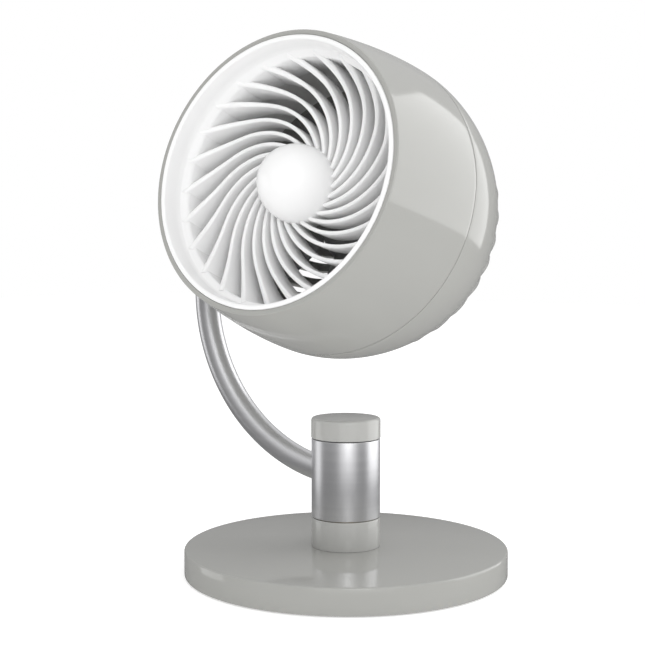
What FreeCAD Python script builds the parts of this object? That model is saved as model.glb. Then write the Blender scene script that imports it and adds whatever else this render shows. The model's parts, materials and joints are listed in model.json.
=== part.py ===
"""Small desk air circulator: a round fan head carried on one side by a bent tube arm.

Millimetres. +Z is up, the air leaves towards -Y, and the origin is the centre of the
base's underside. The head is drawn level about its tilt axis, by depth behind its front
rim, and then tilted up and lifted to its place. The arm swivels about the post.
"""
import FreeCAD
import Part
import math
import os

V = FreeCAD.Vector

# ---- driving dimensions: base -------------------------------------------------------
BASE_R = 80.0            # base disc
BASE_TOP = 13.25         # top of the base above the table
BASE_LIFT = 0.5          # gap under the base shell's edge
BASE_WALL = 2.4
BASE_EDGE = 0.8          # rounding of the top edge
PLATE_T = 2.0            # bottom plate
FOOT_INSET = 5.0         # non-slip pad, from the base's edge
FOOT_SINK = 0.7          # depth of the pad in the plate's recess
WEIGHT_INSET = 15.4      # cast weight, from the base's edge
WEIGHT_HOLE_GAP = 8.0    # round the spindle's flange
WEIGHT_T = 5.6
SCREW_INSET = 9.0        # circle of the bottom screws, from the base's edge
BASE_SCREWS = 4
PILLAR_R = 3.4
GLAND_R = 4.0            # grommet in the base's back wall
GLAND_BORE_R = 3.0
GLAND_FLANGE = 1.2       # flange beyond the barrel
GLAND_INSIDE = 2.0       # barrel beyond the wall, inwards
GLAND_OUTSIDE = 1.8      # and outwards

# ---- driving dimensions: post -------------------------------------------------------
POST_R = 17.04           # collar and sleeve
POST_WALL = 5.04         # outside of the post to the spindle
COLLAR_H = 14.45
SLEEVE_H = 39.15
KNOB_H = 10.15
KNOB_PROUD = 0.16        # knob beyond the sleeve
KNOB_EDGE = 1.5
KNOB_WALL = 2.5
SPINDLE_WALL = 2.0
SPINDLE_FLANGE_W = 6.0
SPINDLE_FLANGE_T = 2.0
BUSH_T = 2.0             # wall of the two plain bushes
BUSH_L = 8.0
SWITCH_GAP = 1.0         # between the switch and the spindle's bore
SWITCH_L = 15.0
SWITCH_SHAFT_R = 3.0

# ---- driving dimensions: arm --------------------------------------------------------
SIDE_ROOM = 14.0         # head's side to the tube's axis
ARM_R = 6.35             # half-inch tube
ARM_WALL = 1.2
ARM_FOOT_UP = 19.88      # tube's axis at the post, above the collar
BEND_PAST = 0.7          # centre of the bend beyond the post's axis
LEAD_R = 2.4

# ---- driving dimensions: tilt pivot -------------------------------------------------
HEAD_CLEAR = 28.33       # head's side above the knob
HEAD_TILT = 13.75        # degrees up
KNUCKLE_R = 10.0
KNUCKLE_END = 0.75       # knuckle beyond the socket, outwards
SOCKET_WALL = 1.9
SOCKET_DROP = 15.0       # the socket's mouth below the pivot axis
HUB_R = 9.5
BOLT_R = 2.5
BOLT_HEAD_R = 5.0
BOLT_HEAD_T = 3.0
WASHER_T = 0.8
NUT_R = 4.6
NUT_T = 2.8
BRACKET_T = 3.0
BRACKET_EDGE = 1.5       # bracket beyond the hub

# ---- driving dimensions: head, by depth behind the front rim ------------------------
HEAD_FRONT_R = 66.3
SIDE_SWELL = 8.6         # largest radius beyond the front's
REAR_TAPER = 14.6        # and beyond the back corner's
RIM_SETBACK = 0.85       # housing edge behind the grille's lip
FRONT_BULGE = 1.67       # exponents of the two side curves
REAR_BULGE = 1.9
BACK_CORNER = 18.3       # width of the rounded back corner
WIDEST_UP = 55.0         # largest radius, ahead of the back
REAR_UP = 7.0            # start of the back corner, ahead of the back
SEAM_UP = 3.1            # parting line of the two shells, ahead of the largest radius
HEAD_WALL = 2.2
SPIGOT_L = 5.0
SPIGOT_T = 1.6
VENT_COUNT = 32
VENT_UP = 17.0           # vents reach this far ahead of the back
VENT_IN_R = 35.0
VENT_SHARE = 0.36        # open share of the vent pitch
VENT_TURN = -24.0        # sweep of a vent from its inner end to the side, degrees

# ---- driving dimensions: grille -----------------------------------------------------
RIM_W = 2.13             # housing's edge round the grille's lip
LIP_W = 2.4
LIP_DEPTH = 3.0
LIP_PROUD = 0.97         # lip beyond the bowl's wall
BOWL_WALL = 3.4
BOWL_END = 34.0          # back edge of the bowl's wall
DISH = 23.0              # depth of the vanes' front edges
DISH_SIDE = 15.2         # width of the dish's curved side
DISH_CURVE = 0.07        # which comes forward as a parabola, per mm
VANE_COUNT = 25
VANE_T = 2.1
VANE_DEPTH = 11.0
VANE_START = -6.0        # angle of the first vane at the hub
VANE_TURN = 76.0         # sweep of a vane from the hub to the wall, degrees
VANE_CURVE = 0.78        # exponent of the sweep against radius
HUB_CAP_R = 18.5
HUB_CAP_RISE = 21.0
HUB_CAP_WALL = 1.8
GRILLE_HUB_WALL = 2.6

# ---- driving dimensions: air duct, impeller and motor --------------------------------
DUCT_STEP = 2.4          # duct's bore inside the bowl's outside
DUCT_WALL = 1.6
DUCT_LENGTH = 29.2
FLANGE_T = 2.0
FLANGE_GAP = 1.6         # flange's edge to the housing's wall
LEDGE_T = 6.0
TIP_GAP = 1.3
BLADE_COUNT = 7
BLADE_T = 2.0
BLADE_START = 25.0       # angle of the first blade
BLADE_PITCH = 26.0       # degrees from the plane of rotation
BLADE_GAP = 0.8          # duct to blades
BLADE_LENGTH = 16.0      # along the axis
IMPELLER_HUB_R = 20.0
MOTOR_R = 26.0
MOTOR_GAP = 4.0          # blades to the motor's can
MOTOR_LENGTH = 20.0
CAN_WALL = 1.2
BELL_T = 2.0
STATOR_IN_R = 14.0
AIR_GAP = 0.5
SHAFT_R = 3.0
BEARING_R = 7.5
BEARING_T = 4.0
TOWER_WALL = 6.0
TOWER_L = 9.0            # rear bell to the outside of the back
PIVOT_BEHIND = 0.97      # tilt axis behind the duct's end

# ---- clearances ----------------------------------------------------------------------
SEAT = 0.02              # between pieces fixed together round a common axis
RUN = 0.05               # running fit, radial
LOOSE = 0.2              # easy fit between pieces of one body
SIDE_GAP = 0.4           # between faces that turn past each other

# ---- worked out: base and post -------------------------------------------------------
FOOT_R = BASE_R - FOOT_INSET
WEIGHT_R = BASE_R - WEIGHT_INSET
BASE_SCREW_R = BASE_R - SCREW_INSET
SPINDLE_R = POST_R - POST_WALL
SPINDLE_FLANGE_R = SPINDLE_R + SPINDLE_FLANGE_W
WEIGHT_HOLE_R = SPINDLE_FLANGE_R + WEIGHT_HOLE_GAP
SWITCH_R = SPINDLE_R - SPINDLE_WALL - SWITCH_GAP
COLLAR_TOP = BASE_TOP + COLLAR_H
SLEEVE_BOTTOM = COLLAR_TOP + SIDE_GAP
SLEEVE_TOP = COLLAR_TOP + SLEEVE_H
KNOB_BOTTOM = SLEEVE_TOP + SIDE_GAP
KNOB_TOP = KNOB_BOTTOM + KNOB_H
KNOB_R = POST_R + KNOB_PROUD
BUSH_R = SPINDLE_R + BUSH_T
SLEEVE_BORE = BUSH_R + RUN
SHOULDER_R = SLEEVE_BORE + 1.4
SHOULDER_DROP = 4.8
SHELF = BASE_TOP - BASE_WALL
PLATE_TOP = BASE_LIFT + PLATE_T
FLANGE_BOTTOM = PLATE_TOP + 0.4
SPINDLE_TOP = SLEEVE_TOP - 0.4

# ---- worked out: head ----------------------------------------------------------------
HEAD_MAX_R = HEAD_FRONT_R + SIDE_SWELL
HEAD_REAR_R = HEAD_MAX_R - REAR_TAPER
BACK_FLAT_R = HEAD_REAR_R - BACK_CORNER
GRILLE_R = HEAD_FRONT_R - RIM_W
BOWL_OUT_R = GRILLE_R - LIP_PROUD
BOWL_IN_R = BOWL_OUT_R - BOWL_WALL
DISH_EDGE_R = BOWL_OUT_R - 2.0
DISH_FLAT_R = BOWL_OUT_R - DISH_SIDE
DUCT_IN_R = BOWL_OUT_R - DUCT_STEP
DUCT_END = BOWL_END + DUCT_LENGTH
IMPELLER_TIP_R = DUCT_IN_R - TIP_GAP
BLADE_FRONT = DUCT_END + BLADE_GAP
MOTOR_FRONT = BLADE_FRONT + BLADE_LENGTH + MOTOR_GAP
MOTOR_BACK = MOTOR_FRONT + MOTOR_LENGTH
HEAD_DEPTH = MOTOR_BACK + BELL_T + TOWER_L
WIDEST = HEAD_DEPTH - WIDEST_UP
REAR = HEAD_DEPTH - REAR_UP
SEAM = WIDEST - SEAM_UP
VENT_START = HEAD_DEPTH - VENT_UP
HEAD_REACH = DUCT_END + PIVOT_BEHIND

# ---- worked out: arm and pivot -------------------------------------------------------
PIVOT_Z = KNOB_TOP + HEAD_MAX_R + HEAD_CLEAR
ARM_SPAN = HEAD_MAX_R + SIDE_ROOM
ARM_BEND_R = ARM_SPAN + BEND_PAST
ARM_BEND_Z = COLLAR_TOP + ARM_FOOT_UP + ARM_BEND_R
KNUCKLE_X_IN = -ARM_SPAN + ARM_R + SOCKET_WALL + LOOSE
KNUCKLE_X_OUT = -ARM_SPAN - ARM_R - SOCKET_WALL - KNUCKLE_END
WASHER_X = KNUCKLE_X_IN + WASHER_T
HUB_X = WASHER_X + SIDE_GAP
BRACKET_SIZE = 2 * (HUB_R + BRACKET_EDGE)
BRACKET_X = -(DUCT_IN_R + DUCT_WALL + NUT_T + BRACKET_T + 1.4)

parts = {}


# ---- plain shapes ----------------------------------------------------------------------
def disc(radius, low, high):
    """Upright cylinder on the post's axis."""
    return Part.makeCylinder(radius, high - low, V(0, 0, low))


def ring(outer, inner, low, high):
    return disc(outer, low, high).cut(disc(inner, low - 1, high + 1))


def pin(radius, low, high, x, y):
    """Upright cylinder away from the post's axis."""
    return Part.makeCylinder(radius, high - low, V(x, y, low))


def cross_rod(radius, x_low, x_high, z=0.0):
    """Cylinder along X, at the tilt axis when z is 0."""
    return Part.makeCylinder(radius, x_high - x_low, V(x_low, 0, z), V(1, 0, 0))


def block(x, y, z):
    """Box between pairs of limits."""
    return Part.makeBox(x[1] - x[0], y[1] - y[0], z[1] - z[0], V(x[0], y[0], z[0]))


def around(shape, count, axis, start=0.0):
    """Copies of a shape, evenly spaced about an axis through the origin."""
    copies = []
    for step in range(count):
        copy = shape.copy()
        copy.rotate(V(0, 0, 0), axis, start + step * 360.0 / count)
        copies.append(copy)
    return copies


def fused(shapes):
    whole = shapes[0].multiFuse(shapes[1:])
    return whole.removeSplitter()


# ---- shapes about the head's axis -------------------------------------------------------
def at_depth(depth):
    """Y of a depth behind the front rim, on the level head."""
    return depth - HEAD_REACH


def rod(radius, near, far, x=0.0, z=0.0):
    """Cylinder along the head's axis, between two depths."""
    return Part.makeCylinder(radius, far - near, V(x, at_depth(near), z), V(0, 1, 0))


def tube(outer, inner, near, far):
    return rod(outer, near, far).cut(rod(inner, near - 1, far + 1))


def spun(edges):
    """Solid of revolution about the head's axis from the edges of a closed outline."""
    face = Part.Face(Part.Wire(Part.__sortEdges__(edges)))
    solid = face.revolve(V(0, 0, 0), V(0, 1, 0), 360)
    return Part.Solid(solid.Shells[0]) if solid.ShapeType != "Solid" else solid


def flat_points(pairs):
    """(radius, depth) pairs as points of the outline plane."""
    return [V(radius, at_depth(depth), 0) for radius, depth in pairs]


def turned(pairs):
    """Solid of revolution with a straight-sided outline."""
    points = flat_points(pairs)
    closed = points + [points[0]]
    return spun([Part.makeLine(a, b) for a, b in zip(closed, closed[1:])])


def curve(pairs):
    line = Part.BSplineCurve()
    line.interpolate(flat_points(pairs))
    return line.toShape()


# ---- the housing's skin --------------------------------------------------------------
def skin_radius(depth):
    """Outside radius of the housing's side."""
    if depth < WIDEST:
        share = (WIDEST - depth) / WIDEST
        return HEAD_MAX_R - (HEAD_MAX_R - HEAD_FRONT_R) * share ** FRONT_BULGE
    share = (depth - WIDEST) / (REAR - WIDEST)
    return HEAD_MAX_R - (HEAD_MAX_R - HEAD_REAR_R) * share ** REAR_BULGE


def skin_point(depth, inset):
    """Point of the side, moved inwards square to the skin."""
    step = 0.5
    slope = (skin_radius(depth + step) - skin_radius(depth - step)) / (2 * step)
    length = math.hypot(1.0, slope)
    return (skin_radius(depth) - inset / length, depth + inset * slope / length)


def side_points(start, end, inset, steps=6):
    """Points of the side from one depth to another."""
    return [skin_point(start + (end - start) * i / steps, inset) for i in range(steps + 1)]


def corner_points(inset):
    """Points of the rounded back corner, from the side's end to the flat back."""
    radius, depth = skin_point(REAR, inset)
    flat = HEAD_DEPTH - inset
    mid_r = radius - 0.30 * (radius - BACK_FLAT_R)
    mid_d = depth + 0.66 * (flat - depth)
    return [(mid_r, mid_d), (BACK_FLAT_R, flat)]


def band_of_skin(start, end, inset):
    """Closed ring of the side wall between two depths."""
    outer = side_points(start, end, 0.0)
    inner = side_points(start, end, inset)
    inner[0] = (inner[0][0], start)
    inner[-1] = (inner[-1][0], end)
    a, b, c, d = flat_points([outer[0], outer[-1], inner[-1], inner[0]])
    return spun([curve(outer), curve(inner), Part.makeLine(b, c), Part.makeLine(d, a)])


def back_of_skin(start, inset):
    """Cup of the rear wall, from a depth to the flat back."""
    outer = side_points(start, REAR, 0.0) + corner_points(0.0)
    inner = side_points(start, REAR, inset) + corner_points(inset)
    inner[0] = (inner[0][0], start)
    middle = [(0.0, outer[-1][1]), (0.0, inner[-1][1])]
    a, b, c, d = flat_points([outer[-1], middle[0], middle[1], inner[-1]])
    e, f = flat_points([inner[0], outer[0]])
    lines = [Part.makeLine(a, b), Part.makeLine(b, c), Part.makeLine(c, d)]
    return spun([curve(outer), curve(inner), Part.makeLine(e, f)] + lines)


# ---- base ------------------------------------------------------------------------------
def base_screw_places():
    turn = 45.0
    places = []
    for i in range(BASE_SCREWS):
        angle = math.radians(turn + 360.0 * i / BASE_SCREWS)
        places.append((BASE_SCREW_R * math.cos(angle), BASE_SCREW_R * math.sin(angle)))
    return places


def collar_screw_places():
    places = []
    for i in range(3):
        angle = math.radians(30.0 + 120.0 * i)
        radius = (SPINDLE_R + SPINDLE_FLANGE_R) / 2
        places.append((radius * math.cos(angle), radius * math.sin(angle)))
    return places


def lead_channel(side=0.4):
    """Space for the lead across the base, from the inlet to the spindle."""
    reach = LEAD_R + side
    high = PLATE_TOP + 2 * reach + 0.4
    return block((-reach, reach), (0, BASE_R - BASE_WALL - 1.0), (PLATE_TOP, high))


def lead_height():
    return PLATE_TOP + LEAD_R + 0.6


def gland_height():
    return (BASE_LIFT + BASE_TOP) / 2


def base_shell():
    outer = disc(BASE_R, BASE_LIFT, BASE_TOP)
    top_edge = [e for e in outer.Edges if abs(e.BoundBox.ZMin - BASE_TOP) < 0.01
                and abs(e.BoundBox.ZMax - BASE_TOP) < 0.01]
    outer = outer.makeFillet(min(BASE_EDGE, BASE_WALL / 2), top_edge)
    shell = outer.cut(disc(BASE_R - BASE_WALL, BASE_LIFT - 1, SHELF))
    seat = disc(SPINDLE_FLANGE_R + 1.5, FLANGE_BOTTOM + SPINDLE_FLANGE_T, SHELF)
    pillars = [pin(PILLAR_R, PLATE_TOP, SHELF, x, y) for x, y in base_screw_places()]
    shell = fused([shell, seat] + pillars)
    cuts = [disc(SPINDLE_R + SEAT, 0, BASE_TOP + 1), lead_channel()]
    cuts += [pin(1.25, 0, SHELF - 1.0, x, y) for x, y in base_screw_places()]
    cuts += [pin(1.7, 0, BASE_TOP + 1, x, y) for x, y in collar_screw_places()]
    inner, outer = gland_ends()
    cuts.append(gland_rod(GLAND_R, inner - 0.5, outer))
    return shell.cut(cuts)


def base_plate():
    plate = disc(BASE_R - BASE_WALL - LOOSE, BASE_LIFT, PLATE_TOP)
    recess = disc(FOOT_R + SEAT, BASE_LIFT - 1, BASE_LIFT + FOOT_SINK)
    heads = [pin(3.2, 0, BASE_LIFT + 1.2, x, y) for x, y in base_screw_places()]
    holes = [pin(1.8, 0, PLATE_TOP + 1, x, y) for x, y in base_screw_places()]
    return plate.cut([recess] + heads + holes)


def base_screws():
    """Four screws whose heads lie under the foot pad."""
    screws = []
    for x, y in base_screw_places():
        head = pin(2.9, BASE_LIFT + FOOT_SINK + 0.1, BASE_LIFT + 1.2, x, y)
        shank = pin(1.25, BASE_LIFT + 1.2, SHELF - 1.6, x, y)
        screws.append(head.fuse(shank))
    return Part.Compound(screws)


def foot_pad():
    return disc(FOOT_R, 0, BASE_LIFT + FOOT_SINK)


def base_weight():
    weight = ring(WEIGHT_R, WEIGHT_HOLE_R, PLATE_TOP, PLATE_TOP + WEIGHT_T)
    return weight.cut(lead_channel())


def gland_rod(radius, y_low, y_high):
    """Cylinder along the axis of the cord's hole."""
    return Part.makeCylinder(radius, y_high - y_low, V(0, y_low, gland_height()), V(0, 1, 0))


def gland_ends():
    return BASE_R - BASE_WALL - GLAND_INSIDE, BASE_R + GLAND_OUTSIDE


def cord_gland():
    """Rubber grommet that lines the cord's hole in the back of the base."""
    inner, outer = gland_ends()
    barrel = gland_rod(GLAND_R - SEAT, inner, outer)
    flange = gland_rod(GLAND_R + GLAND_FLANGE, BASE_R - BASE_WALL, outer)
    flange = flange.cut(disc(BASE_R + 0.01, 0, BASE_TOP + 1))
    return barrel.fuse(flange).cut(gland_rod(GLAND_BORE_R, inner - 1, outer + 1))


def base_lead():
    """Internal lead from the inlet's inner end to the spindle's foot."""
    y_low = SPINDLE_R - SPINDLE_WALL
    y_high = gland_ends()[0] - 0.5
    return Part.makeCylinder(LEAD_R, y_high - y_low, V(0, y_low, lead_height()), V(0, 1, 0))


def build_base():
    parts["base_shell"] = base_shell()
    parts["base_plate"] = base_plate()
    parts["base_weight"] = base_weight()
    parts["base_screws"] = base_screws()
    parts["foot_pad"] = foot_pad()
    parts["cord_gland"] = cord_gland()
    parts["base_lead"] = base_lead()


# ---- post --------------------------------------------------------------------------------
def spindle():
    tube_part = disc(SPINDLE_R, FLANGE_BOTTOM, SPINDLE_TOP)
    flange = disc(SPINDLE_FLANGE_R, FLANGE_BOTTOM, FLANGE_BOTTOM + SPINDLE_FLANGE_T)
    body = tube_part.fuse(flange)
    cuts = [disc(SPINDLE_R - SPINDLE_WALL, 0, SPINDLE_TOP + 1), lead_channel()]
    cuts += [pin(1.7, 0, BASE_TOP, x, y) for x, y in collar_screw_places()]
    return body.cut(cuts)


def post_collar():
    collar = ring(POST_R, SPINDLE_R + SEAT, BASE_TOP, COLLAR_TOP)
    holes = [pin(1.25, BASE_TOP - 1, BASE_TOP + 8.0, x, y) for x, y in collar_screw_places()]
    return collar.cut(holes)


def collar_screws():
    """Three screws up through the spindle's flange and the base into the collar."""
    screws = []
    for x, y in collar_screw_places():
        head = pin(2.4, PLATE_TOP + 0.02, FLANGE_BOTTOM, x, y)
        shank = pin(1.25, FLANGE_BOTTOM, BASE_TOP + 7.0, x, y)
        screws.append(head.fuse(shank))
    return Part.Compound(screws)


def lower_bush():
    """Flanged bush that the sleeve's lower end rests on."""
    body = disc(BUSH_R, COLLAR_TOP, COLLAR_TOP + BUSH_L)
    flange = disc(SHOULDER_R - LOOSE, COLLAR_TOP, COLLAR_TOP + 2.0)
    return body.fuse(flange).cut(disc(SPINDLE_R + SEAT, 0, COLLAR_TOP + BUSH_L + 1))


def upper_bush():
    high = SLEEVE_TOP - SHOULDER_DROP
    return ring(BUSH_R, SPINDLE_R + SEAT, high - BUSH_L, high)


def retaining_ring():
    """Ring on the spindle that keeps the sleeve from lifting off."""
    low = SLEEVE_TOP - SHOULDER_DROP + SIDE_GAP
    return ring(SHOULDER_R - LOOSE - RUN, SPINDLE_R + SEAT, low, low + 1.6)


def speed_switch():
    low = SPINDLE_TOP - SWITCH_L
    body = disc(SWITCH_R, low, SPINDLE_TOP - 2.0)
    rim = disc(SPINDLE_R - SPINDLE_WALL - SEAT, SPINDLE_TOP - 4.0, SPINDLE_TOP - 2.0)
    return body.fuse(rim).cut(disc(SWITCH_SHAFT_R + RUN, low + 3.0, SPINDLE_TOP))


def build_post():
    parts["spindle"] = spindle()
    parts["post_collar"] = post_collar()
    parts["collar_screws"] = collar_screws()
    parts["lower_bush"] = lower_bush()
    parts["upper_bush"] = upper_bush()
    parts["retaining_ring"] = retaining_ring()
    parts["speed_switch"] = speed_switch()


# ---- speed knob ----------------------------------------------------------------------------
def speed_knob():
    outer = disc(KNOB_R, KNOB_BOTTOM, KNOB_TOP)
    top_edge = [e for e in outer.Edges if abs(e.BoundBox.ZMin - KNOB_TOP) < 0.01]
    outer = outer.makeFillet(min(KNOB_EDGE, KNOB_WALL / 1.5), top_edge)
    cup = outer.cut(disc(KNOB_R - KNOB_WALL, KNOB_BOTTOM - 1, KNOB_TOP - KNOB_WALL))
    boss = disc(SWITCH_SHAFT_R + 2.0, KNOB_BOTTOM + 1.0, KNOB_TOP - KNOB_WALL)
    socket = disc(SWITCH_SHAFT_R, KNOB_BOTTOM, KNOB_TOP - KNOB_WALL)
    return cup.fuse(boss).cut(socket)


def switch_shaft():
    return disc(SWITCH_SHAFT_R, SPINDLE_TOP - SWITCH_L + 3.0 + SIDE_GAP, KNOB_TOP - KNOB_WALL)


def build_knob():
    parts["speed_knob"] = speed_knob()
    parts["switch_shaft"] = switch_shaft()


# ---- swivelling sleeve and arm --------------------------------------------------------------
def arm_path(start_x, top):
    """Axis of the tube: a bend out of the post, then straight up to a height."""
    centre_x = ARM_BEND_R - ARM_SPAN
    reach = centre_x - start_x
    start_z = ARM_BEND_Z - math.sqrt(ARM_BEND_R ** 2 - reach ** 2)
    slope = math.radians(45.0)
    middle = V(centre_x - ARM_BEND_R * math.cos(slope), 0,
               ARM_BEND_Z - ARM_BEND_R * math.sin(slope))
    corner = V(-ARM_SPAN, 0, ARM_BEND_Z)
    bend = Part.Arc(V(start_x, 0, start_z), middle, corner).toShape()
    upright = Part.makeLine(corner, V(-ARM_SPAN, 0, top))
    return Part.Wire([bend, upright])


def along_path(path, radius):
    """Round bar of one radius along a path."""
    start = path.Vertexes[0].Point
    direction = path.Edges[0].tangentAt(path.Edges[0].FirstParameter)
    profile = Part.Wire(Part.makeCircle(radius, start, direction))
    return path.makePipeShell([profile], True, False)


def tube_top():
    return PIVOT_Z - BOLT_R - 3.0


def arm_bar(radius, start_x, top):
    return along_path(arm_path(start_x, top), radius)


def arm_tube():
    start_x = -SLEEVE_BORE + 3.0
    wall = arm_bar(ARM_R, start_x, tube_top()).cut(
        arm_bar(ARM_R - ARM_WALL, start_x + 1.0, tube_top() + 1.0))
    return wall.cut(disc(SLEEVE_BORE, COLLAR_TOP, SLEEVE_TOP))


def arm_lead():
    """Supply lead inside the tube."""
    return arm_bar(LEAD_R, -SLEEVE_BORE - 1.0, tube_top() - 1.0)


def swivel_sleeve():
    sleeve = ring(POST_R, SLEEVE_BORE, SLEEVE_BOTTOM, SLEEVE_TOP)
    low_step = disc(SHOULDER_R, SLEEVE_BOTTOM - 1, COLLAR_TOP + 2.0 + SIDE_GAP)
    high_step = disc(SHOULDER_R, SLEEVE_TOP - SHOULDER_DROP, SLEEVE_TOP + 1)
    hole = arm_bar(ARM_R, -SLEEVE_BORE + 3.0, tube_top())
    return sleeve.cut([low_step, high_step, hole])


def build_arm():
    parts["swivel_sleeve"] = swivel_sleeve()
    parts["arm_tube"] = arm_tube()
    parts["arm_lead"] = arm_lead()


# ---- tilt pivot --------------------------------------------------------------------------
def lifted(shape):
    """A shape drawn about the tilt axis, at the pivot's height."""
    shape.translate(V(0, 0, PIVOT_Z))
    return shape


def pivot_knuckle():
    """Fitting on top of the tube that holds the pivot bolt."""
    barrel = cross_rod(KNUCKLE_R, KNUCKLE_X_OUT, KNUCKLE_X_IN)
    socket = Part.makeCylinder(ARM_R + SOCKET_WALL, SOCKET_DROP, V(-ARM_SPAN, 0, -SOCKET_DROP))
    depth = SOCKET_DROP + 1 + tube_top() - PIVOT_Z
    bore = Part.makeCylinder(ARM_R, depth, V(-ARM_SPAN, 0, -SOCKET_DROP - 1))
    bolt_hole = cross_rod(BOLT_R + SEAT, KNUCKLE_X_OUT - 1, KNUCKLE_X_IN + 1)
    recess = cross_rod(BOLT_HEAD_R + LOOSE, KNUCKLE_X_OUT - 1, bolt_seat_x())
    return barrel.fuse(socket).cut([bore, bolt_hole, recess])


def bolt_seat_x():
    return KNUCKLE_X_OUT + BOLT_HEAD_T + 1.2


def bolt_end_x():
    return BRACKET_X + BRACKET_T + SIDE_GAP + NUT_T + 0.6


def pivot_bolt():
    head = cross_rod(BOLT_HEAD_R, bolt_seat_x() - BOLT_HEAD_T, bolt_seat_x())
    shank = cross_rod(BOLT_R, bolt_seat_x(), bolt_end_x())
    return head.fuse(shank)


def pivot_washer():
    return cross_rod(HUB_R, KNUCKLE_X_IN, WASHER_X).cut(
        cross_rod(BOLT_R + SEAT, KNUCKLE_X_IN - 1, WASHER_X + 1))


def pivot_nut():
    low = BRACKET_X + BRACKET_T + SIDE_GAP
    sides = Part.makePolygon([V(low, NUT_R * math.cos(math.radians(60 * i)),
                                NUT_R * math.sin(math.radians(60 * i))) for i in range(7)])
    nut = Part.Face(sides).extrude(V(NUT_T, 0, 0))
    return nut.cut(cross_rod(BOLT_R, low - 1, low + NUT_T + 1))


def knuckle_cap():
    """Snap-in cap over the bolt's head."""
    face = cross_rod(KNUCKLE_R, KNUCKLE_X_OUT - 1.2, KNUCKLE_X_OUT)
    rim = [e for e in face.Edges if abs(e.BoundBox.XMax - (KNUCKLE_X_OUT - 1.2)) < 0.01]
    face = face.makeFillet(0.6, rim)
    plug = cross_rod(BOLT_HEAD_R + LOOSE, KNUCKLE_X_OUT, KNUCKLE_X_OUT + 0.8)
    return face.fuse(plug)


def build_pivot():
    parts["pivot_knuckle"] = lifted(pivot_knuckle())
    parts["pivot_bolt"] = lifted(pivot_bolt())
    parts["pivot_washer"] = lifted(pivot_washer())
    parts["pivot_nut"] = lifted(pivot_nut())
    parts["knuckle_cap"] = lifted(knuckle_cap())


# ---- head --------------------------------------------------------------------------------
def tilted(shape):
    """A shape of the level head, tilted up and lifted to its place."""
    shape.rotate(V(0, 0, 0), V(1, 0, 0), -HEAD_TILT)
    shape.translate(V(0, 0, PIVOT_Z))
    return shape


def hub_opening():
    """Hole in the housing for the pivot hub."""
    return cross_rod(HUB_R + 0.05, -HEAD_MAX_R - 10, -DUCT_IN_R)


def flange_radius():
    """Outside of the duct's flange, clear of the housing's wall."""
    return skin_radius(BOWL_END) - HEAD_WALL - FLANGE_GAP


def duct_screw_places():
    places = []
    for i in range(4):
        angle = math.radians(45.0 + 90.0 * i)
        radius = (DUCT_IN_R + DUCT_WALL + flange_radius()) / 2 + 0.6
        places.append((radius * math.cos(angle), radius * math.sin(angle)))
    return places


def front_shell():
    wall = band_of_skin(RIM_SETBACK, SEAM, HEAD_WALL)
    root = skin_radius(BOWL_END - LEDGE_T) - HEAD_WALL / 2
    ledge = tube(root, BOWL_OUT_R + LOOSE, BOWL_END - LEDGE_T, BOWL_END)
    body = wall.fuse(ledge)
    holes = [rod(0.95, BOWL_END - LEDGE_T + 1, BOWL_END + 1, x, z)
             for x, z in duct_screw_places()]
    return body.cut([hub_opening()] + holes)


def spigot():
    """Ring of the rear shell that snaps into the front shell."""
    outer = skin_point(SEAM - SPIGOT_L, HEAD_WALL)[0] - LOOSE
    inner = outer - SPIGOT_T
    root = skin_radius(SEAM + 3.0) - HEAD_WALL / 2
    return turned([(inner, SEAM - SPIGOT_L), (outer, SEAM - SPIGOT_L), (outer, SEAM),
                   (root, SEAM), (root, SEAM + 3.0), (inner, SEAM + 3.0)])


def vent_side(side):
    """Swept edge of a vent, seen from the back."""
    half = math.radians(360.0 / VENT_COUNT * VENT_SHARE / 2)
    outer = HEAD_MAX_R + 5
    steps = 4
    points = []
    for i in range(steps + 1):
        radius = VENT_IN_R + (outer - VENT_IN_R) * i / steps
        turn = math.radians(VENT_TURN * i / steps) + side * half
        points.append(V(radius * math.cos(turn), at_depth(VENT_START), radius * math.sin(turn)))
    return points


def vent_cutter():
    """Swept wedge between two ribs of the back."""
    low, high = vent_side(-1), vent_side(1)
    edges = [Part.makeLine(low[0], high[0]), Part.makeLine(low[-1], high[-1])]
    for points in (low, high):
        line = Part.BSplineCurve()
        line.interpolate(points)
        edges.append(line.toShape())
    face = Part.Face(Part.Wire(Part.__sortEdges__(edges)))
    return face.extrude(V(0, HEAD_DEPTH - VENT_START + 5, 0))


def motor_screw_places():
    places = []
    radius = MOTOR_R - TOWER_WALL / 2
    for i in range(3):
        angle = math.radians(90.0 + 120.0 * i)
        places.append((radius * math.cos(angle), radius * math.sin(angle)))
    return places


def tower_start():
    return MOTOR_BACK + BELL_T


def bracket_room():
    """Space that the housing leaves round the pivot bracket."""
    half = BRACKET_SIZE / 2 + LOOSE
    return block((BRACKET_X - LOOSE, BRACKET_X + BRACKET_T), (-half, at_depth(DUCT_END) + LOOSE),
                 (-half, half))


def rear_shell():
    cup = back_of_skin(SEAM, HEAD_WALL)
    cup = cup.cut(around(vent_cutter(), VENT_COUNT, V(0, 1, 0)))
    tower = tube(MOTOR_R, MOTOR_R - TOWER_WALL, tower_start(), HEAD_DEPTH - HEAD_WALL / 2)
    body = fused([cup, spigot(), tower])
    cuts = [hub_opening(), bracket_room()]
    for x, z in motor_screw_places():
        cuts.append(rod(1.7, tower_start() - 1, HEAD_DEPTH + 1, x, z))
        cuts.append(rod(3.2, HEAD_DEPTH - 3.0, HEAD_DEPTH + 1, x, z))
    return body.cut(cuts)


def build_housing():
    parts["front_shell"] = tilted(front_shell())
    parts["rear_shell"] = tilted(rear_shell())


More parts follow.
